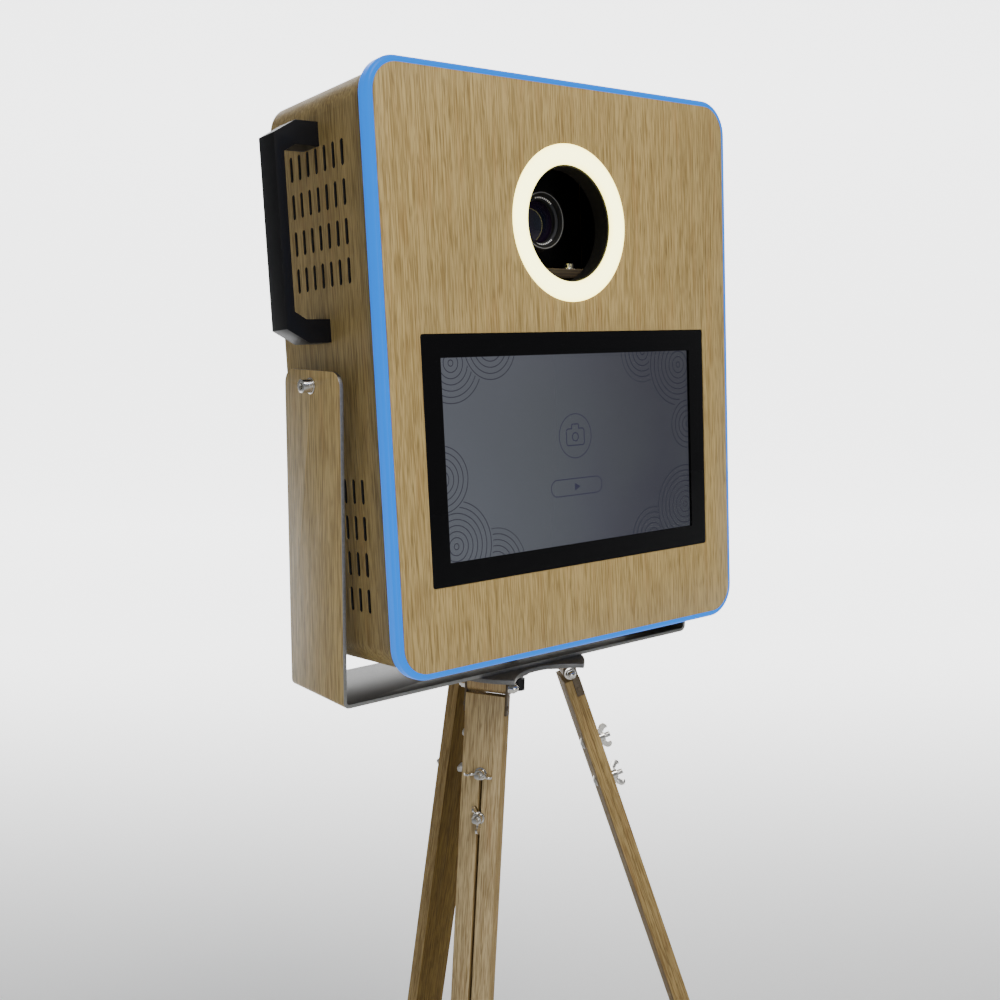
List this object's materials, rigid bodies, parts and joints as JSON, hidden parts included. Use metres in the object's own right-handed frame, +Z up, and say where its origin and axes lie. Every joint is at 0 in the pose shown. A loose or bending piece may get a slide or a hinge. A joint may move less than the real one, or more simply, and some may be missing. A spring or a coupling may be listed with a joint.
{
  "type": "photo booth",
  "caption": "Touch-screen photo booth: wood-faced camera cabinet with ring light and lit edge, tilting in a steel yoke on a folding wooden tripod.",
  "frame": {"origin": "on the floor, at the centre of the bounding box's base", "axes": "+Z up, the screen faces -Y, +X to the right of someone facing the screen"},
  "size_m": [0.651, 0.4692, 1.5666],
  "materials": {
    "oak_laminate": "satin wood-grain laminate",
    "oak_board": "satin",
    "plywood": "matt",
    "blue_diffuser": "lit edge, satin",
    "warm_diffuser": "lit opal, satin",
    "zinc_steel": "zinc plated",
    "nickel_steel": "polished nickel",
    "black_plastic": "fine textured",
    "dark_steel": "powder coated",
    "cast_alloy": "satin painted casting",
    "border_glass": "polished",
    "lens_glass": "coated",
    "display": "satin",
    "board_white": "satin",
    "bare_alloy": "satin",
    "boot_rubber": "matt",
    "red_plastic": "gloss"
  },
  "bodies": {
    "cabinet": {"front_panel": "oak_laminate", "edge_light_diffuser": "blue_diffuser", "edge_light_strip": "board_white", "cabinet_shell": "oak_laminate", "rear_panel": "oak_laminate", "cabinet_screws": "zinc_steel", "ring_light_diffuser": "warm_diffuser", "ring_led_board": "board_white", "ring_light_tray": "dark_steel", "touch_glass": "border_glass", "screen_panel": "display", "monitor_case": "dark_steel", "inner_brackets": "dark_steel", "camera_body": "black_plastic", "lens_barrel": "black_plastic", "lens_front_element": "lens_glass", "camera_shelf": "plywood", "camera_screw": "zinc_steel", "mini_computer": "black_plastic", "power_supply": "bare_alloy", "power_inlet": "black_plastic", "handle_left": "black_plastic", "handle_right": "black_plastic", "fan_frame": "black_plastic", "hinge_leaves_fixed": "zinc_steel", "pivot_plates": "zinc_steel"},
    "rocker_switch": {"rocker_switch": "red_plastic"},
    "fan_rotor": {"fan_rotor": "black_plastic"},
    "rear_door": {"rear_door": "oak_laminate", "hinge_leaves_door": "zinc_steel"},
    "door_lock": {"door_lock": "nickel_steel"},
    "zoom_ring": {"zoom_ring": "black_plastic"},
    "shutter_button": {"shutter_button": "bare_alloy"},
    "yoke": {"yoke_strap": "oak_laminate", "pivot_bolts": "zinc_steel", "swivel_bolt": "zinc_steel"},
    "tripod_head": {"tripod_head": "cast_alloy"},
    "pan_knob": {"pan_knob": "black_plastic"},
    "upper_leg_left": {"upper_board_left": "oak_board", "leg_hinge_left": "nickel_steel"},
    "upper_leg_right": {"upper_board_right": "oak_board", "leg_hinge_right": "nickel_steel"},
    "upper_leg_rear": {"upper_board_rear": "oak_board", "leg_hinge_rear": "nickel_steel"},
    "lower_leg_left": {"lower_board_left": "oak_board", "boot_left": "boot_rubber", "clamp_bolts_left": "zinc_steel"},
    "lower_leg_right": {"lower_board_right": "oak_board", "boot_right": "boot_rubber", "clamp_bolts_right": "zinc_steel"},
    "lower_leg_rear": {"lower_board_rear": "oak_board", "boot_rear": "boot_rubber", "clamp_bolts_rear": "zinc_steel"},
    "wing_nut_left_top": {"wing_nut_left_top": "nickel_steel"},
    "wing_nut_left_low": {"wing_nut_left_low": "nickel_steel"},
    "wing_nut_right_top": {"wing_nut_right_top": "nickel_steel"},
    "wing_nut_right_low": {"wing_nut_right_low": "nickel_steel"},
    "wing_nut_rear_top": {"wing_nut_rear_top": "nickel_steel"},
    "wing_nut_rear_low": {"wing_nut_rear_low": "nickel_steel"}
  },
  "joints": [
    {"name": "yoke_pan", "type": "hinge", "parent": "tripod_head", "child": "yoke", "pos_m": [-0.04502, -0.00541, 0.96], "axis": [0, 0, 1], "continuous": true},
    {"name": "cabinet_tilt", "type": "hinge", "parent": "yoke", "child": "cabinet", "pos_m": [-0.04502, 0.00309, 1.2751], "axis": [1, 0, 0], "range_deg": [-24.65, 35.35]},
    {"name": "rear_door_hinge", "type": "hinge", "parent": "cabinet", "child": "rear_door", "pos_m": [-0.25102, 0.08839, 1.31733], "axis": [0, 0.0932, 0.9956], "range_deg": [0, 110]},
    {"name": "door_lock_turn", "type": "hinge", "parent": "rear_door", "child": "door_lock", "pos_m": [0.12498, 0.08381, 1.31776], "axis": [0, 0.9956, -0.0932], "range_deg": [0, 90]},
    {"name": "rocker_tilt", "type": "hinge", "parent": "cabinet", "child": "rocker_switch", "pos_m": [0.05748, 0.05799, 1.05804], "axis": [1, 0, 0], "range_deg": [-17, 0]},
    {"name": "fan_spin", "type": "hinge", "parent": "cabinet", "child": "fan_rotor", "pos_m": [-0.16002, 0.04952, 1.05883], "axis": [0, 0.9956, -0.0932], "continuous": true},
    {"name": "zoom_turn", "type": "hinge", "parent": "cabinet", "child": "zoom_ring", "pos_m": [-0.04502, -0.01588, 1.43296], "axis": [0, 0.9956, -0.0932], "range_deg": [0, 70]},
    {"name": "shutter_press", "type": "slide", "parent": "cabinet", "child": "shutter_button", "axis": [0, -0.0932, -0.9956], "range_m": [0, 0.0012], "stiffness_N_per_m": 300, "springref_m": -0.002},
    {"name": "pan_knob_turn", "type": "hinge", "parent": "tripod_head", "child": "pan_knob", "pos_m": [-0.04502, -0.00541, 0.94], "axis": [0, 0, 1], "continuous": true},
    {"name": "leg_fold_left", "type": "hinge", "parent": "tripod_head", "child": "upper_leg_left", "pos_m": [-0.10218, -0.03841, 0.9465], "axis": [0.5, -0.866, 0], "range_deg": [-16, 6]},
    {"name": "leg_extend_left", "type": "slide", "parent": "upper_leg_left", "child": "lower_leg_left", "axis": [-0.0905, -0.0523, -0.9945], "range_m": [0, 0.3]},
    {"name": "wing_nut_left_top_turn", "type": "hinge", "parent": "lower_leg_left", "child": "wing_nut_left_top", "pos_m": [-0.12129, -0.04945, 0.85129], "axis": [-0.8613, -0.4973, 0.1045], "continuous": true},
    {"name": "wing_nut_left_low_turn", "type": "hinge", "parent": "lower_leg_left", "child": "wing_nut_left_low", "pos_m": [-0.12582, -0.05207, 0.80156], "axis": [-0.8613, -0.4973, 0.1045], "continuous": true},
    {"name": "leg_fold_right", "type": "hinge", "parent": "tripod_head", "child": "upper_leg_right", "pos_m": [0.01214, -0.03841, 0.9465], "axis": [0.5, 0.866, 0], "range_deg": [-2.1, 19.9]},
    {"name": "leg_extend_right", "type": "slide", "parent": "upper_leg_right", "child": "lower_leg_right", "axis": [0.2948, -0.1702, -0.9403], "range_m": [0, 0.3]},
    {"name": "wing_nut_right_top_turn", "type": "hinge", "parent": "lower_leg_right", "child": "wing_nut_right_top", "pos_m": [0.0505, -0.06057, 0.85938], "axis": [0.8143, -0.4701, 0.3404], "continuous": true},
    {"name": "wing_nut_right_low_turn", "type": "hinge", "parent": "lower_leg_right", "child": "wing_nut_right_low", "pos_m": [0.06524, -0.06907, 0.81236], "axis": [0.8143, -0.4701, 0.3404], "continuous": true},
    {"name": "leg_fold_rear", "type": "hinge", "parent": "tripod_head", "child": "upper_leg_rear", "pos_m": [-0.04502, 0.06058, 0.9465], "axis": [-1, 0, 0], "range_deg": [-11.8, 10.2]},
    {"name": "leg_extend_rear", "type": "slide", "parent": "upper_leg_rear", "child": "lower_leg_rear", "axis": [0, 0.1771, -0.9842], "range_m": [0, 0.3]},
    {"name": "wing_nut_rear_top_turn", "type": "hinge", "parent": "lower_leg_rear", "child": "wing_nut_rear_top", "pos_m": [-0.04502, 0.08957, 0.85316], "axis": [0, 0.9842, 0.1771], "continuous": true},
    {"name": "wing_nut_rear_low_turn", "type": "hinge", "parent": "lower_leg_rear", "child": "wing_nut_rear_low", "pos_m": [-0.04502, 0.09843, 0.80395], "axis": [0, 0.9842, 0.1771], "continuous": true}
  ]
}
